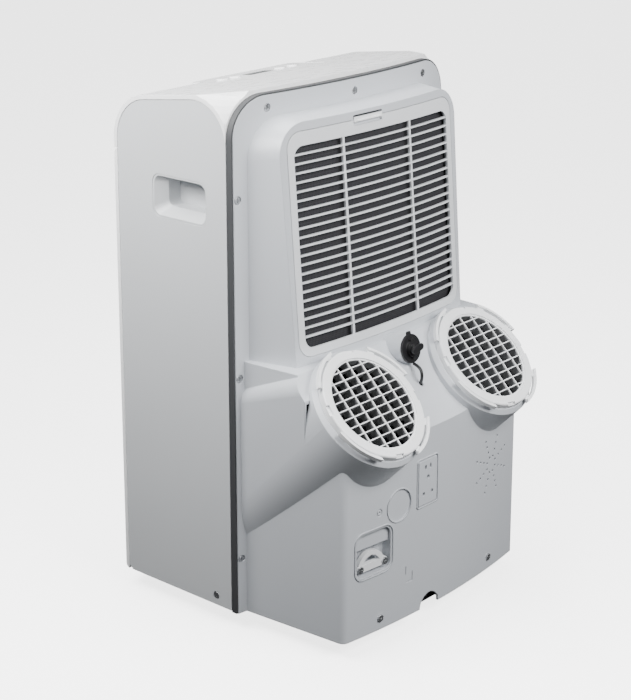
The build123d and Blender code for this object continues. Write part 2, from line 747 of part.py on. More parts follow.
def make_filter_latch():
    """Sliding latch in the door's top edge: its tongue reaches into the housing's slot."""
    with BuildPart() as grip:
        with Locations((LATCH_X, 70, DOOR_Z1 - 1.0)):
            Box(2 * LATCH_HALF_W - 8, 60, 1.6)
        add(door_slab(2.2, -1), mode=Mode.INTERSECT)
    with BuildPart() as latch:
        with Locations((LATCH_X, 70, DOOR_Z1 + 0.5)):
            Box(2 * LATCH_HALF_W, 60, 2 * LATCH_IN - 8)
        add(door_slab(0.8, -2.6), mode=Mode.INTERSECT)
        add(grip.part)
    save(latch, "filter_latch")


def make_air_filter():
    with BuildPart() as air_filter:
        add(door_prism(OPEN_HALF_W + 6, OPEN_Z0 - 6, OPEN_Z1 + 6, 8, -8.5, -11.5))
    save(air_filter, "air_filter")


# ---- duct ports ----
def make_port_collar(side, name):
    """Bayonet collar: a ring with four raised lugs, a notch between each two."""
    with BuildPart() as collar:
        with BuildSketch(port_plane(side, 0.1)):
            Circle(COLLAR_R)
            Circle(MOUTH_R, mode=Mode.SUBTRACT)
        extrude(amount=COLLAR_H)
        rims = collar.edges().filter_by(GeomType.CIRCLE).group_by(SortBy.RADIUS)[-1]
        fillet(rims.sort_by(Axis.Z)[-1], 2.2)
        # four hooked lugs stand off the ring's edge on short stems
        with BuildSketch(port_plane(side, COLLAR_H - 4.5)):
            Circle(PORT_R - 0.3)
            Circle(COLLAR_R + 2.6, mode=Mode.SUBTRACT)
            with PolarLocations(PORT_R, 4, start_angle=SLOT_TURN):
                Rectangle(24, 60, mode=Mode.SUBTRACT)
        extrude(amount=5.6)
        with BuildSketch(port_plane(side, COLLAR_H - 4.5)):
            Circle(COLLAR_R + 3.2)
            Circle(COLLAR_R - 3, mode=Mode.SUBTRACT)
            with PolarLocations(PORT_R, 4, start_angle=SLOT_TURN):
                Rectangle(30, 60, mode=Mode.SUBTRACT)
            with PolarLocations(PORT_R, 4, start_angle=SLOT_TURN + 45):
                Rectangle(30, 36, mode=Mode.SUBTRACT)
        extrude(amount=2.6)
        with BuildSketch(port_plane(side, COLLAR_H - 3)):
            with PolarLocations(COLLAR_R, 4, start_angle=SLOT_TURN):
                Rectangle(8, 13)
        extrude(amount=10, mode=Mode.SUBTRACT)
    save(collar, name)


def make_port_grille(side, name):
    """Guard across a duct mouth: a rim with crossed upright fins."""
    with BuildPart() as grille:
        with BuildSketch(port_plane(side, -5)) as fins:
            Circle(MOUTH_R - 0.1)
            Circle(MOUTH_R - 2.2, mode=Mode.SUBTRACT)
            with Locations([(20.6 * (i - 2), 0) for i in range(5)]):
                Rectangle(1.3, 2 * MOUTH_R - 2)
            with Locations([(0, 11.3 * (i - 4.5)) for i in range(10)]):
                Rectangle(2 * MOUTH_R - 2, 1.2)
            Circle(MOUTH_R - 0.1, mode=Mode.INTERSECT)
        extrude(amount=COLLAR_H + 3.6)
    save(grille, name)


# ---- drain ----
def make_drain():
    with BuildPart() as stub:
        with BuildSketch(stub_plane()):
            Circle(STUB_R - 0.1)
            Circle(STUB_BORE, mode=Mode.SUBTRACT)
        extrude(amount=-54)
        with BuildSketch(stub_plane(-54)):
            Circle(STUB_R - 0.1)
        extrude(amount=-2)
    save(stub, "drain_stub")
    with BuildPart() as plug:
        with BuildSketch(stub_plane(0.1)):
            Circle(STUB_R - 0.8)
        extrude(amount=3)
        with BuildSketch(stub_plane(0.1)):
            Circle(STUB_BORE - FIT)
        extrude(amount=-13)
        with BuildSketch(stub_plane(3)):
            Circle(10)
            with Locations((0, 10), (0, -10)):
                Rectangle(7, 5)
        extrude(amount=4)
        with BuildSketch(stub_plane(7)):
            Circle(6)
        extrude(amount=4)
        with BuildSketch(stub_plane(11)):
            SlotOverall(21, 8, rotation=12)
        extrude(amount=3.5)
        with BuildSketch(stub_plane(0.4)):
            with Locations((0, -STUB_R + 1)):
                RectangleRounded(7, 8, 2)
        extrude(amount=2.4)
    save(plug, "drain_plug")
    with BuildPart() as strap:
        with BuildLine() as route:
            FilletPolyline(*STRAP_ROUTE, radius=5.5)
        with BuildSketch(Plane(origin=route.line @ 0, z_dir=route.line % 0)):
            Circle(STRAP_R)
        sweep()
    save(strap, "drain_strap")
    with BuildPart() as plug:
        with BuildSketch(Plane.XY.offset(BASE_Z - 6)):
            with Locations(TRAY_DRAIN):
                Circle(9)
        extrude(amount=5.9)
        with BuildSketch(Plane.XY.offset(BASE_Z - 0.2)):
            with Locations(TRAY_DRAIN):
                Circle(6 - FIT)
        extrude(amount=6)
    save(plug, "tray_drain_plug")


# ---- cord pocket ----
def make_cord_pocket():
    x, z, width, height = POCKET
    with BuildPart() as pocket:
        with BuildSketch(rear_plane(60)):
            with Locations((-x, z)):
                RectangleRounded(width - 0.4, height - 0.4, POCKET_R - 0.2)
        extrude(amount=150)
        add(bowed_slab(BACK_Y - 0.3, BACK_R, POCKET_DEPTH, 0, 400), mode=Mode.INTERSECT)
        with BuildSketch(back_plane(x, z, -POCKET_DEPTH + 2.5)):
            RectangleRounded(width - 5, height - 5, POCKET_R - 2.5)
        extrude(amount=60, mode=Mode.SUBTRACT)
        # flap across the upper half
        with BuildSketch(back_plane(x, z, -5)):
            with Locations((0, 17)):
                Rectangle(width - 6, 20)
        extrude(amount=-2)
        with BuildSketch(back_plane(*CLEAT_AT, -POCKET_DEPTH - 5)):
            with Locations((-CLEAT_SCREW_X, -6), (CLEAT_SCREW_X, -6)):
                Circle(SCREW_R + 0.3)
        extrude(amount=20, mode=Mode.SUBTRACT)
    save(pocket, "cord_pocket")


def make_cord_cleat():
    """Screwed bar across the pocket with a bowed arm that the cord is wound under."""
    with BuildPart() as cleat:
        with BuildSketch(back_plane(*CLEAT_AT, -9)):
            with Locations((0, -6)):
                RectangleRounded(2 * CLEAT_SCREW_X + 9.4, 9.4, 3)
            with BuildLine():
                outer = ThreePointArc((-24, -4), (-2, 14), (20, -4))
                inner = ThreePointArc((-17, -4), (-2, 8), (13, -4))
                Line(outer @ 0, inner @ 0)
                Line(outer @ 1, inner @ 1)
            make_face()
            with Locations((-CLEAT_SCREW_X, -6), (CLEAT_SCREW_X, -6)):
                Circle(SCREW_R + 0.3, mode=Mode.SUBTRACT)
        extrude(amount=6)
        with BuildSketch(back_plane(*CLEAT_AT, -POCKET_DEPTH + 2.8)):
            with Locations((-CLEAT_SCREW_X, -6), (CLEAT_SCREW_X, -6)):
                Circle(4.3)
                Circle(SCREW_R + 0.3, mode=Mode.SUBTRACT)
        extrude(amount=POCKET_DEPTH - 11.8)
    save(cleat, "cord_cleat")


# ---- base and casters ----
def make_base_pan():
    inner_side = BOX_HALF_W - WALL - 2
    rear_end = bow(BACK_Y - WALL - 0.5, BACK_R, inner_side)
    with BuildPart() as pan:
        with BuildSketch(Plane.XY.offset(BASE_Z)):
            with Locations((0, -88)):
                RectangleRounded(2 * 192, 178, 6)
            with BuildLine():
                rear = ThreePointArc((-inner_side, rear_end), (0, BACK_Y - WALL - 0.5), (inner_side, rear_end))
                Polyline(rear @ 0, (-inner_side, -20), (inner_side, -20), rear @ 1)
            make_face()
        extrude(amount=30)
        fillet(pan.edges().filter_by(Axis.Z).sort_by(Axis.Y)[-2:], 7)
        offset(amount=-2.0, openings=pan.faces().sort_by(Axis.Z)[-1])
        with BuildSketch(Plane.XY.offset(BASE_Z - 1)):
            with Locations(list(CASTERS.values())):
                Circle(WELL_R)
            with Locations(TRAY_DRAIN):
                Circle(6)
            with Locations((NOTCH_X - 5, BACK_Y)):
                Rectangle(44, 24)
        extrude(amount=8, mode=Mode.SUBTRACT)
        with BuildSketch(Plane.XY.offset(BASE_Z + 6)):
            with Locations((NOTCH_X - 5, BACK_Y)):
                Rectangle(44, 24)
        extrude(amount=40, mode=Mode.SUBTRACT)
        for x, z in BACK_SCREWS:
            with BuildSketch(back_plane(x, z)):
                Circle(SCREW_R + 0.2)
            extrude(amount=-16, mode=Mode.SUBTRACT)
    save(pan, "base_pan")


def make_caster_sockets():
    """Four cups over the caster wells, each with a boss for the swivel stem."""
    with BuildPart() as sockets:
        for x, y in CASTERS.values():
            with BuildSketch(Plane.XY.offset(BASE_Z)):
                with Locations((x, y)):
                    Circle(WELL_R - 0.1)
            extrude(amount=22)
            with BuildSketch(Plane.XY.offset(BASE_Z - 1)):
                with Locations((x, y)):
                    Circle(WELL_R - 2.2)
            extrude(amount=20.5, mode=Mode.SUBTRACT)
            with BuildSketch(Plane.XY.offset(BASE_Z + 22)):
                with Locations((x, y)):
                    Circle(9)
            extrude(amount=16)
            with BuildSketch(Plane.XY.offset(BASE_Z + 10)):
                with Locations((x, y)):
                    Circle(STEM_R + FIT)
            extrude(amount=30, mode=Mode.SUBTRACT)
    save(sockets, "caster_sockets")


def make_caster(tag, x, y):
    axle_y = y + TRAIL
    plate_z = BASE_Z + 14.5
    cheek_x = WHEEL_W / 2 + 2.4
    with BuildPart() as fork:
        with BuildSketch(Plane.XY.offset(plate_z)):
            with Locations((x, y + 3)):
                Circle(14)
        extrude(amount=3)
        for cheek in (-1, 1):
            with BuildSketch(Plane.YZ.offset(x + cheek * cheek_x - 1.2)):
                with BuildLine():
                    Polyline((y - 7, plate_z + 1), (axle_y - 5, WHEEL_R - 3), (axle_y + 5, WHEEL_R - 3),
                             (axle_y + 5, plate_z + 1), close=True)
                make_face()
            extrude(amount=2.4)
        with BuildSketch(Plane.XY.offset(plate_z + 3)):
            with Locations((x, y)):
                Circle(STEM_R)
        extrude(amount=20)
        with BuildSketch(Plane.YZ.offset(x)):
            with Locations((axle_y, WHEEL_R)):
                Circle(AXLE_R)
        extrude(amount=cheek_x + 1.2, both=True)
    save(fork, f"caster_fork_{tag}")
    with BuildPart() as wheel:
        with BuildSketch(Plane.YZ.offset(x - WHEEL_W / 2)):
            with Locations((axle_y, WHEEL_R)):
                Circle(WHEEL_R)
                Circle(AXLE_R + FIT, mode=Mode.SUBTRACT)
        extrude(amount=WHEEL_W)
        chamfer(wheel.edges().filter_by(GeomType.CIRCLE).group_by(SortBy.RADIUS)[-1], 1.5)
    save(wheel, f"caster_wheel_{tag}")


# ---- inside ----
def make_divider_deck():
    """Deck between the cold and the warm half; its rim makes it the condensate tray."""
    with BuildPart() as deck:
        with BuildSketch(Plane.XY.offset(DECK_Z)):
            with Locations((0, -88)):
                Rectangle(2 * 186, 172)
            with Locations((0, 30)):
                Rectangle(2 * 160, 68)
        extrude(amount=16)
        offset(amount=-2.0, openings=deck.faces().sort_by(Axis.Z)[-1])
        with BuildSketch(Plane.XY.offset(DECK_Z - 1)):
            with Locations(PIPE_HOLE):
                Circle(13)
        extrude(amount=6, mode=Mode.SUBTRACT)
    save(deck, "divider_deck")


def make_coil(name, x, y0, y1, z0, z1, half_w):
    """Finned coil: end plates, a fin pack and the return bends at both ends."""
    with BuildPart() as coil:
        with Locations((x, (y0 + y1) / 2, (z0 + z1) / 2)):
            Box(2 * half_w - 24, y1 - y0, z1 - z0)
        rows = int((z1 - z0) / 25)
        for end in (-1, 1):
            with Locations((x + end * (half_w - 11.5), (y0 + y1) / 2, (z0 + z1) / 2)):
                Box(2, y1 - y0 + 4, z1 - z0 + 4)
            for row in range(rows):
                z = z0 + 12.5 + 25 * row
                with BuildSketch(Plane.YZ.offset(x + end * (half_w - 12))):
                    with Locations(((y0 + y1) / 2, z)):
                        SlotOverall((y1 - y0) * 0.8, 8)
                extrude(amount=end * 10)
    save(coil, name)


def make_blower(name, place, radius, depth):
    """Forward-curved wheel on a hub: back disc, ring and blades, turning about Y."""
    x, y, z = place
    with BuildPart() as wheel:
        with BuildSketch(Plane.XZ.offset(-y)):
            with Locations((x, z)):
                Circle(radius)
                Circle(4 + FIT, mode=Mode.SUBTRACT)
        extrude(amount=2.5)
        with BuildSketch(Plane.XZ.offset(-y)):
            with Locations((x, z)):
                Circle(14)
                Circle(4 + FIT, mode=Mode.SUBTRACT)
        extrude(amount=22)
        with BuildSketch(Plane.XZ.offset(-y + depth - 3)):
            with Locations((x, z)):
                Circle(radius)
                Circle(radius - 12, mode=Mode.SUBTRACT)
        extrude(amount=3)
        with BuildSketch(Plane.XZ.offset(-y + 2)):
            with Locations((x, z)):
                with PolarLocations(radius - 6.5, BLADES):
                    Rectangle(11, 1.6, rotation=35)
        extrude(amount=depth - 4)
    save(wheel, name)


def make_motor(name, place, radius, length):
    """Fan motor behind the wheel's back disc, with the shaft that carries the wheel."""
    x, y, z = place
    with BuildPart() as motor:
        with BuildSketch(Plane.XZ.offset(-y - 3)):
            with Locations((x, z)):
                Circle(radius)
        extrude(amount=-length)
        with BuildSketch(Plane.XZ.offset(-y - 3)):
            with Locations((x, z)):
                Circle(4)
        extrude(amount=24)
    save(motor, name)


def make_scroll(name, place, radius, depth, duct_x, top):
    """Blower scroll: a drum open at its front inlet, and a throat that leads upwards."""
    x, y, z = place
    mid = (duct_x[0] + duct_x[1]) / 2
    span = duct_x[1] - duct_x[0]
    with BuildPart() as scroll:
        with BuildSketch(Plane.XZ.offset(-y - 2.6)):
            with Locations((x, z)):
                Circle(radius)
            with Locations((mid, (z + top) / 2)):
                Rectangle(span, top - z)
        extrude(amount=depth + 8)
        with BuildSketch(Plane.XZ.offset(-y - 0.6)):
            with Locations((x, z)):
                Circle(radius - 2)
            with Locations((mid, (z + top) / 2 + 4)):
                Rectangle(span - 4, top - z + 8)
        extrude(amount=depth + 3.6, mode=Mode.SUBTRACT)
        with BuildSketch(Plane.XZ.offset(-y + depth + 3)):
            with Locations((x, z)):
                Circle(radius - 24)
        extrude(amount=10, mode=Mode.SUBTRACT)
        with BuildSketch(Plane.XZ.offset(-y - 5)):
            with Locations((x, z)):
                Circle(10)
        extrude(amount=10, mode=Mode.SUBTRACT)
    save(scroll, name)


def make_compressor():
    x, y = COMPRESSOR_AT
    foot_z = BASE_Z + 2 + FOOT_H
    feet = [(x + 62 * cos(radians(a)), y + 62 * sin(radians(a))) for a in (45, 135, 225, 315)]
    with BuildPart() as shell:
        with BuildSketch(Plane.XY.offset(foot_z + 3)):
            with Locations((x, y)):
                Circle(56)
        extrude(amount=196)
        fillet(shell.edges().group_by(Axis.Z)[-1], 26)
        with BuildSketch(Plane.XY.offset(foot_z)):
            with Locations((x, y)):
                RectangleRounded(108, 108, 16)
        extrude(amount=3.2)
        with BuildSketch(Plane.XY.offset(foot_z + 195)):
            with Locations((x, y)):
                Circle(14)
        extrude(amount=14)
        with BuildSketch(Plane.XY.offset(foot_z - 2)):
            with Locations(feet):
                Circle(4.4)
        extrude(amount=8, mode=Mode.SUBTRACT)
    save(shell, "compressor")
    with BuildPart() as mounts:
        with BuildSketch(Plane.XY.offset(BASE_Z + 2)):
            with Locations(feet):
                Circle(9)
        extrude(amount=FOOT_H)
        with BuildSketch(Plane.XY.offset(foot_z)):
            with Locations(feet):
                Circle(4.3)
        extrude(amount=5)
    save(mounts, "compressor_feet")
    with BuildPart() as accumulator:
        with BuildSketch(Plane.XY.offset(foot_z + 40)):
            with Locations(ACCUMULATOR_AT):
                Circle(20)
        extrude(amount=120)
        fillet(accumulator.edges().group_by(Axis.Z)[-1], 12)
        fillet(accumulator.edges().group_by(Axis.Z)[0], 12)
    save(accumulator, "accumulator")


def make_pipe(points, radius, bend):
    with BuildPart() as pipe:
        with BuildLine() as route:
            FilletPolyline(*points, radius=bend)
        with BuildSketch(Plane(origin=route.line @ 0, z_dir=route.line % 0)):
            Circle(radius)
        sweep()
    return pipe.part


def make_pipes():
    with BuildPart() as pipes:
        for points, radius, bend in PIPE_ROUTES:
            add(make_pipe(points, radius, bend))
    save(pipes, "refrigerant_pipes")


def make_control_box():
    with BuildPart() as box:
        with Locations(CONTROL_BOX_AT):
            Box(110, 44, 150)
            fillet(box.edges().filter_by(Axis.Z), 4)
    save(box, "control_box")


def screw(plane, shank):
    """Pan-head screw, its head's seat on the plane."""
    with BuildPart() as body:
        with BuildSketch(plane):
            Circle(HEAD_R)
        extrude(amount=1.9)
        fillet(body.edges().group_by(SortBy.LENGTH)[-1][-1:], 0.4)
        with BuildSketch(plane.offset(1.9)):
            Rectangle(5.6, 1.2)
            Rectangle(1.2, 5.6)
        extrude(amount=-1.1, mode=Mode.SUBTRACT)
        with BuildSketch(plane):
            Circle(SCREW_R)
        extrude(amount=-shank)
    return body.part


def make_screws():
    screws = []
    for x, z in FLANGE_SCREWS:
        y = bow(FLANGE_Y, SEAM_R, x) - 2.2
        screws.append(screw(Plane(origin=(x, y, z), x_dir=(-1, 0, 0), z_dir=(0, 1, 0)), 14))
    for x, z in BACK_SCREWS:
        screws.append(screw(back_plane(x, z), 12))
    for x in (-CLEAT_SCREW_X, CLEAT_SCREW_X):
        screws.append(screw(cleat_hole_plane(x), 19))
    for side in (-1, 1):
        y, z = SIDE_SCREW
        screws.append(screw(Plane(origin=(side * (PANEL_FACE_X - 1.6), y, z), x_dir=(0, 1, 0), z_dir=(side, 0, 0)), 7))
        y, z = CUP_SCREW
        floor_x = PANEL_FACE_X - 0.4 - (CUP_DEPTH - 2.5)
        screws.append(screw(Plane(origin=(side * floor_x, y, z), x_dir=(0, 1, 0), z_dir=(side, 0, 0)), 10))
    with BuildPart() as group:
        for item in screws:
            add(item)
    save(group, "casing_screws")


def cleat_hole_plane(x):
    plane = back_plane(*CLEAT_AT, -3)
    return Plane(origin=plane.from_local_coords((x, -6, 0)), x_dir=plane.x_dir, z_dir=plane.z_dir)


def main():
    os.makedirs("parts", exist_ok=True)
    save(make_rear_housing(), "rear_housing")
    save(make_body_gasket(), "body_gasket")
    for side, word in ((1, "left"), (-1, "right")):
        make_side_panel(side, f"side_panel_{word}")
        make_handle_cup(side, f"handle_cup_{word}")
        make_port_collar(side, f"port_collar_{word}")
        make_port_grille(side, f"port_grille_{word}")
    make_top_cover()
    make_control_panel()
    make_front_panel()
    for number, z in enumerate(LOUVRE_Z, 1):
        make_louvre(number, z)
    for number, x in enumerate(VANE_X, 1):
        make_vane(number, x)
    make_vane_link()
    make_filter_door()
    make_filter_latch()
    make_air_filter()
    make_drain()
    make_cord_pocket()
    make_cord_cleat()
    make_base_pan()
    make_caster_sockets()
    for tag, (x, y) in CASTERS.items():
        make_caster(tag, x, y)
    make_divider_deck()
    make_coil("evaporator_coil", 0, 12, 42, DECK_Z + 22, 610, 150)
    make_coil("condenser_coil", 0, 96, 126, 66, 236, 150)
    make_blower("evaporator_fan", EVAP_FAN, 84, 52)
    make_motor("evaporator_motor", EVAP_FAN, 38, 36)
    make_scroll("evaporator_scroll", EVAP_FAN, 96, 52, (-60, 96), 560)
    make_blower("condenser_fan", COND_FAN, 68, 44)
    make_motor("condenser_motor", COND_FAN, 34, 34)
    make_scroll("condenser_scroll", COND_FAN, 78, 44, (-170, -110), 262)
    make_compressor()
    make_pipes()
    make_control_box()
    make_screws()


main()
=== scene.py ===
import math

import bpy
from mathutils import Matrix, Vector


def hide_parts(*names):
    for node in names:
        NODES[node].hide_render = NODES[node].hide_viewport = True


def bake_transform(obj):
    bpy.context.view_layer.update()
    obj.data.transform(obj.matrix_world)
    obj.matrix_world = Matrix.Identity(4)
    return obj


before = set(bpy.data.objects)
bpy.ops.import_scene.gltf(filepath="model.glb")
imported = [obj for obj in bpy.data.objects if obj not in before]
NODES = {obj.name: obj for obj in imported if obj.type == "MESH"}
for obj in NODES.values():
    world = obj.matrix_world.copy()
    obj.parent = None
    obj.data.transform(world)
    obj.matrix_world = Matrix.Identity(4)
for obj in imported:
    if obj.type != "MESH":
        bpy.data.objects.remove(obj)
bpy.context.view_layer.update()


# ---- material helpers ----
def new_material(name, colour, roughness, metallic=0.0, coat=0.0, specular=0.5):
    """A principled material whose look comes from constant values and noise."""
    mat = bpy.data.materials.new(name)
    mat.use_nodes = True
    shader = mat.node_tree.nodes["Principled BSDF"]
    shader.inputs["Base Color"].default_value = (*colour, 1.0)
    shader.inputs["Roughness"].default_value = roughness
    shader.inputs["Metallic"].default_value = metallic
    shader.inputs["Coat Weight"].default_value = coat
    shader.inputs["Coat Roughness"].default_value = 0.2
    shader.inputs["Specular IOR Level"].default_value = specular
    return mat, mat.node_tree, shader


def coords(tree):
    """Object coordinates, which are the frame's own metres."""
    return tree.nodes.new("ShaderNodeTexCoord").outputs["Object"]


def noise(tree, scale, detail=2.0):
    """Noise of this scale, from 0 to 1."""
    node = tree.nodes.new("ShaderNodeTexNoise")
    node.inputs["Scale"].default_value = scale
    node.inputs["Detail"].default_value = detail
    tree.links.new(coords(tree), node.inputs["Vector"])
    return node.outputs["Fac"]


def map_range(tree, value, low, high, to_low, to_high):
    """The value carried from one range to another."""
    node = tree.nodes.new("ShaderNodeMapRange")
    tree.links.new(value, node.inputs["Value"])
    node.inputs["From Min"].default_value = low
    node.inputs["From Max"].default_value = high
    node.inputs["To Min"].default_value = to_low
    node.inputs["To Max"].default_value = to_high
    return node.outputs["Result"]


def bump(tree, shader, height, strength, distance, normal=None):
    """Bump from a height, on top of another normal where one is given."""
    node = tree.nodes.new("ShaderNodeBump")
    node.inputs["Strength"].default_value = strength
    node.inputs["Distance"].default_value = distance
    tree.links.new(height, node.inputs["Height"])
    if normal is not None:
        tree.links.new(normal, node.inputs["Normal"])
    tree.links.new(node.outputs["Normal"], shader.inputs["Normal"])


def soft_edges(tree, radius):
    """Rounded-looking edges of this radius in metres."""
    node = tree.nodes.new("ShaderNodeBevel")
    node.samples = 6
    node.inputs["Radius"].default_value = radius
    return node


def plastic(name, colour, roughness, edge, grain=0.00004, grain_scale=1800.0, coat=0.0, mottle=0.012):
    """Moulded plastic: fine spark-erosion grain, faint mottling, soft edges."""
    mat, tree, shader = new_material(name, colour, roughness, coat=coat)
    mix = tree.nodes.new("ShaderNodeMix")
    mix.data_type = "RGBA"
    mix.inputs["A"].default_value = (*[c * (1 - mottle * 2) for c in colour], 1.0)
    mix.inputs["B"].default_value = (*[min(c * (1 + mottle * 2), 1.0) for c in colour], 1.0)
    tree.links.new(noise(tree, 9.0, 3.0), mix.inputs["Factor"])
    tree.links.new(mix.outputs["Result"], shader.inputs["Base Color"])
    rough = map_range(tree, noise(tree, 60.0, 3.0), 0.3, 0.7, roughness - 0.04, roughness + 0.05)
    tree.links.new(rough, shader.inputs["Roughness"])
    edges = soft_edges(tree, edge)
    bump(tree, shader, noise(tree, grain_scale, 1.0), 0.5, grain, edges.outputs["Normal"])
    return mat


def assign(mat, *names):
    """Give the CAD nodes this material."""
    for name in names:
        obj = NODES[name]
        obj.data.materials.clear()
        obj.data.materials.append(mat)


# ---- materials of the pieces ----
housing_grey = plastic("housing_grey", (0.52, 0.54, 0.57), 0.36, 0.0016, 0.00002)
panel_grey = plastic("panel_grey", (0.56, 0.575, 0.59), 0.34, 0.0008, 0.00002)
door_grey = plastic("door_grey", (0.66, 0.675, 0.695), 0.36, 0.0006)
shell_white = plastic("shell_white", (0.90, 0.905, 0.91), 0.28, 0.0012, 0.000008, coat=0.2,
                      mottle=0.004)
slat_white = plastic("slat_white", (0.80, 0.81, 0.82), 0.32, 0.0005)
black_plastic = plastic("black_plastic", (0.012, 0.012, 0.013), 0.4, 0.0006)
wheel_nylon = plastic("wheel_nylon", (0.03, 0.03, 0.033), 0.45, 0.0008)
gasket_rubber = plastic("gasket_rubber", (0.045, 0.047, 0.05), 0.6, 0.0004, mottle=0.03)
black_rubber = plastic("black_rubber", (0.010, 0.010, 0.011), 0.38, 0.0006, mottle=0.05)


def metal(name, colour, roughness, streak=400.0):
    """Bare metal with fine uneven gloss."""
    mat, tree, shader = new_material(name, colour, roughness, metallic=1.0)
    rough = map_range(tree, noise(tree, streak, 4.0), 0.3, 0.7, roughness - 0.08, roughness + 0.1)
    tree.links.new(rough, shader.inputs["Roughness"])
    edges = soft_edges(tree, 0.0003)
    bump(tree, shader, noise(tree, streak * 3, 2.0), 0.3, 0.00003, edges.outputs["Normal"])
    return mat


zinc = metal("zinc_plate", (0.55, 0.56, 0.57), 0.35)
copper = metal("copper_tube", (0.72, 0.38, 0.22), 0.3)
enamel = plastic("black_enamel", (0.01, 0.01, 0.012), 0.25, 0.001, coat=0.5)


def fin_material():
    """A stack of thin aluminium fins, drawn as narrow upright bands."""
    mat, tree, shader = new_material("fin_aluminium", (0.62, 0.63, 0.65), 0.35, metallic=1.0)
    wave = tree.nodes.new("ShaderNodeTexWave")
    wave.bands_direction = "X"
    wave.inputs["Scale"].default_value = 160.0
    tree.links.new(coords(tree), wave.inputs["Vector"])
    bump(tree, shader, wave.outputs["Fac"], 0.8, 0.0006)
    return mat


def mesh_material():
    """Fine black filter cloth: a square grid of threads with darker holes between."""
    mat, tree, shader = new_material("filter_cloth", (0.014, 0.014, 0.016), 0.7, specular=0.3)
    heights = []
    for axis in ("X", "Z"):
        wave = tree.nodes.new("ShaderNodeTexWave")
        wave.bands_direction = axis
        wave.inputs["Scale"].default_value = 130.0
        tree.links.new(coords(tree), wave.inputs["Vector"])
        heights.append(wave.outputs["Fac"])
    top = tree.nodes.new("ShaderNodeMath")
    top.operation = "MAXIMUM"
    tree.links.new(heights[0], top.inputs[0])
    tree.links.new(heights[1], top.inputs[1])
    mix = tree.nodes.new("ShaderNodeMix")
    mix.data_type = "RGBA"
    mix.inputs["A"].default_value = (0.004, 0.004, 0.005, 1.0)
    mix.inputs["B"].default_value = (0.030, 0.030, 0.034, 1.0)
    tree.links.new(top.outputs["Value"], mix.inputs["Factor"])
    tree.links.new(mix.outputs["Result"], shader.inputs["Base Color"])
    bump(tree, shader, top.outputs["Value"], 0.7, 0.0006)
    return mat


# ---- duct grille: where its outer face lies, in metres ----
DUCT_MOUTH_Y = 0.152
DUCT_MOUTH_Z = 0.3075
FACE_ABOVE_MOUTH = 0.0076
# distance from the origin along the duct's axis, which rises at 45 degrees
GRILLE_FACE = (DUCT_MOUTH_Y + DUCT_MOUTH_Z) * math.sqrt(0.5) + FACE_ABOVE_MOUTH
# depths below the grille's face over which painted shade darkens the fins inside the duct
SHADE_FULL_BELOW_FACE = 0.0040
SHADE_START_BELOW_FACE = 0.0012


def grille_painted_shade_material():
    """Fins in their own light grey along the outer edge, with painted shade darkening them down inside
    the duct.
    """
    mat, tree, shader = new_material("grille_fins_painted_shade", (0.6, 0.61, 0.62), 0.45)
    split = tree.nodes.new("ShaderNodeSeparateXYZ")
    tree.links.new(coords(tree), split.inputs["Vector"])
    depth = tree.nodes.new("ShaderNodeMath")
    depth.operation = "ADD"
    tree.links.new(split.outputs["Y"], depth.inputs[0])
    tree.links.new(split.outputs["Z"], depth.inputs[1])
    face = GRILLE_FACE * math.sqrt(2)
    painted_shade_blend = map_range(tree, depth.outputs["Value"], face - SHADE_FULL_BELOW_FACE, face - SHADE_START_BELOW_FACE,
                      0.0, 1.0)
    # painted shade: the dark colour stands in for the shade deep in the duct, and the light colour is
    # the fins' own
    mix = tree.nodes.new("ShaderNodeMix")
    mix.data_type = "RGBA"
    mix.inputs["A"].default_value = (0.16, 0.165, 0.17, 1.0)
    mix.inputs["B"].default_value = (0.80, 0.81, 0.82, 1.0)
    tree.links.new(painted_shade_blend, mix.inputs["Factor"])
    tree.links.new(mix.outputs["Result"], shader.inputs["Base Color"])
    bump(tree, shader, noise(tree, 1800.0, 1.0), 0.3, 0.00002)
    return mat


grille_fins_painted_shade = grille_painted_shade_material()
fins = fin_material()
cloth = mesh_material()
glass, glass_tree, glass_shader = new_material("display_glass", (0.35, 0.36, 0.37), 0.1, coat=0.8)
bump(glass_tree, glass_shader, noise(glass_tree, 30.0), 0.05, 0.0001)

assign(housing_grey, "rear_housing", "cord_pocket", "drain_stub")
assign(panel_grey, "side_panel_left", "side_panel_right", "handle_cup_left", "handle_cup_right")
assign(shell_white, "top_cover", "front_panel", "control_panel", "power_button", "mode_button",
       "up_button", "down_button")
assign(door_grey, "filter_door")
assign(slat_white, "filter_latch", "port_collar_left", "port_collar_right", "cord_cleat",
       "louvre_1", "louvre_2", "louvre_3", "vane_1", "vane_2", "vane_3", "vane_4", "vane_link")
assign(grille_fins_painted_shade, "port_grille_left", "port_grille_right")
assign(gasket_rubber, "body_gasket", "compressor_feet")
assign(black_rubber, "drain_plug", "drain_strap", "tray_drain_plug")
assign(black_plastic, "condenser_fan", "evaporator_fan", "condenser_scroll", "evaporator_scroll",
       "caster_sockets", "divider_deck", "base_pan")
assign(cloth, "air_filter")
assign(fins, "condenser_coil", "evaporator_coil")
assign(copper, "refrigerant_pipes")
assign(enamel, "compressor", "accumulator")
assign(glass, "display_window")
CORNERS = ("fl", "fr", "rl", "rr")
assign(zinc, "casing_screws", "control_box", "condenser_motor", "evaporator_motor",
       *[f"caster_fork_{c}" for c in CORNERS])
assign(wheel_nylon, *[f"caster_wheel_{c}" for c in CORNERS])


# ---- drain strap: a soft round cord from the plug's tab to its hole in the housing ----
STRAP_ROUTE = [
    (0.0, 0.1289, 0.3254),
    (0.0025, 0.1415, 0.3245),
    (0.006, 0.1475, 0.313),
    (0.0, 0.1395, 0.301),
]
STRAP_DIAMETER = 0.004


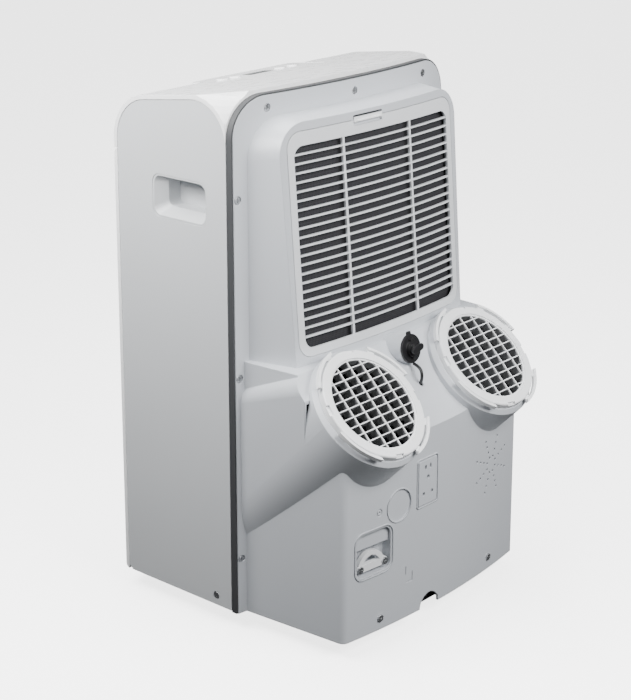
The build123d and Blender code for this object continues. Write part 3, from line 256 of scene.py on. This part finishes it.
def nurbs_curve(name, points):
    """One open smooth spline with these control points."""
    data = bpy.data.curves.new(name, "CURVE")
    data.dimensions = "3D"
    data.resolution_u = 12
    spline = data.splines.new("NURBS")
    spline.points.add(len(points) - 1)
    for control, point in zip(spline.points, points):
        control.co = (*point, 1.0)
    spline.order_u = 3
    spline.use_endpoint_u = True
    return bpy.data.objects.new(name, data)


strap_curve = nurbs_curve("strap_line", list(reversed(STRAP_ROUTE)))
strap_line = bpy.data.meshes.new_from_object(strap_curve)
strap_curve.data.bevel_depth = STRAP_DIAMETER / 2
strap_curve.data.bevel_resolution = 6
strap_curve.data.use_fill_caps = True
strap = bpy.data.objects.new("drain_strap_cord", bpy.data.meshes.new_from_object(strap_curve))
bpy.context.scene.collection.objects.link(strap)
bpy.data.objects.remove(strap_curve)
bpy.data.meshes.remove(strap_line)
strap.data.materials.clear()
strap.data.materials.append(black_rubber)
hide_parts("drain_strap")
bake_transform(strap)

# ---- camera: azimuth 130.9 degrees from a look along +Y, elevation 15 ----
CAMERA_PLACE = (1.6854, 1.4296, 1.0827)
CAMERA_RIGHT = Vector((-0.6549, 0.7557, 0.0))
CAMERA_FORWARD = Vector((-0.72996, -0.63257, -0.25882))
SENSOR_MM = 36.0
LENS_MM = 92.98
CAMERA_SHIFT = (-0.0018, -0.1886)

cam_data = bpy.data.cameras.new("camera")
cam = bpy.data.objects.new("camera", cam_data)
bpy.context.scene.collection.objects.link(cam)
bpy.context.scene.camera = cam
up = CAMERA_RIGHT.cross(CAMERA_FORWARD)
turn = Matrix((CAMERA_RIGHT, up, -CAMERA_FORWARD)).transposed().to_4x4()
cam.matrix_world = Matrix.Translation(CAMERA_PLACE) @ turn
cam_data.sensor_width = SENSOR_MM
cam_data.lens = LENS_MM
cam_data.shift_x, cam_data.shift_y = CAMERA_SHIFT
cam_data.clip_end = 50.0

# ---- floor, world and lights ----
FLOOR_HALF = 9.0
FLOOR_GLOW = 3.2
WORLD_COLOUR = (0.94, 0.97, 1.0, 1.0)
WORLD_STRENGTH = 0.09

floor_mesh = bpy.data.meshes.new("floor")
floor_corners = [(FLOOR_HALF * x, FLOOR_HALF * y, 0.0) for x, y in ((-1, -1), (1, -1), (1, 1), (-1, 1))]
floor_mesh.from_pydata(floor_corners, [], [(0, 1, 2, 3)])
floor = bpy.data.objects.new("floor", floor_mesh)
bpy.context.scene.collection.objects.link(floor)
floor_mat, floor_tree, floor_shader = new_material("floor_white", (0.90, 0.90, 0.90), 0.7)
floor_shader.inputs["Emission Color"].default_value = (1.0, 1.0, 1.0, 1.0)
floor_shader.inputs["Emission Strength"].default_value = FLOOR_GLOW
floor_mesh.materials.append(floor_mat)
# the floor's glow is only for the pale background: it doesn't light the object
floor.visible_diffuse = False
floor.visible_glossy = False

world = bpy.data.worlds.new("studio")
bpy.context.scene.world = world
world.use_nodes = True
background = world.node_tree.nodes["Background"]
background.inputs["Color"].default_value = WORLD_COLOUR
background.inputs["Strength"].default_value = WORLD_STRENGTH


def area_light(name, place, target, size, power):
    """A soft rectangular light at place, turned to face target."""
    data = bpy.data.lights.new(name, "AREA")
    data.shape = "RECTANGLE"
    data.size, data.size_y = size
    data.energy = power
    light = bpy.data.objects.new(name, data)
    bpy.context.scene.collection.objects.link(light)
    aim = Vector(target) - Vector(place)
    light.location = place
    light.rotation_euler = aim.to_track_quat("-Z", "Y").to_euler()


area_light("side_top", (0.68, -0.22, 0.98), (0.2, -0.1, 0.56), (0.8, 0.35), 17.0)
area_light("rear_top", (0.0, 1.25, 1.15), (0.0, 0.15, 0.42), (1.0, 0.6), 36.0)
area_light("overhead", (0.0, -0.2, 1.9), (0.0, 0.0, 0.6), (1.2, 1.2), 40.0)
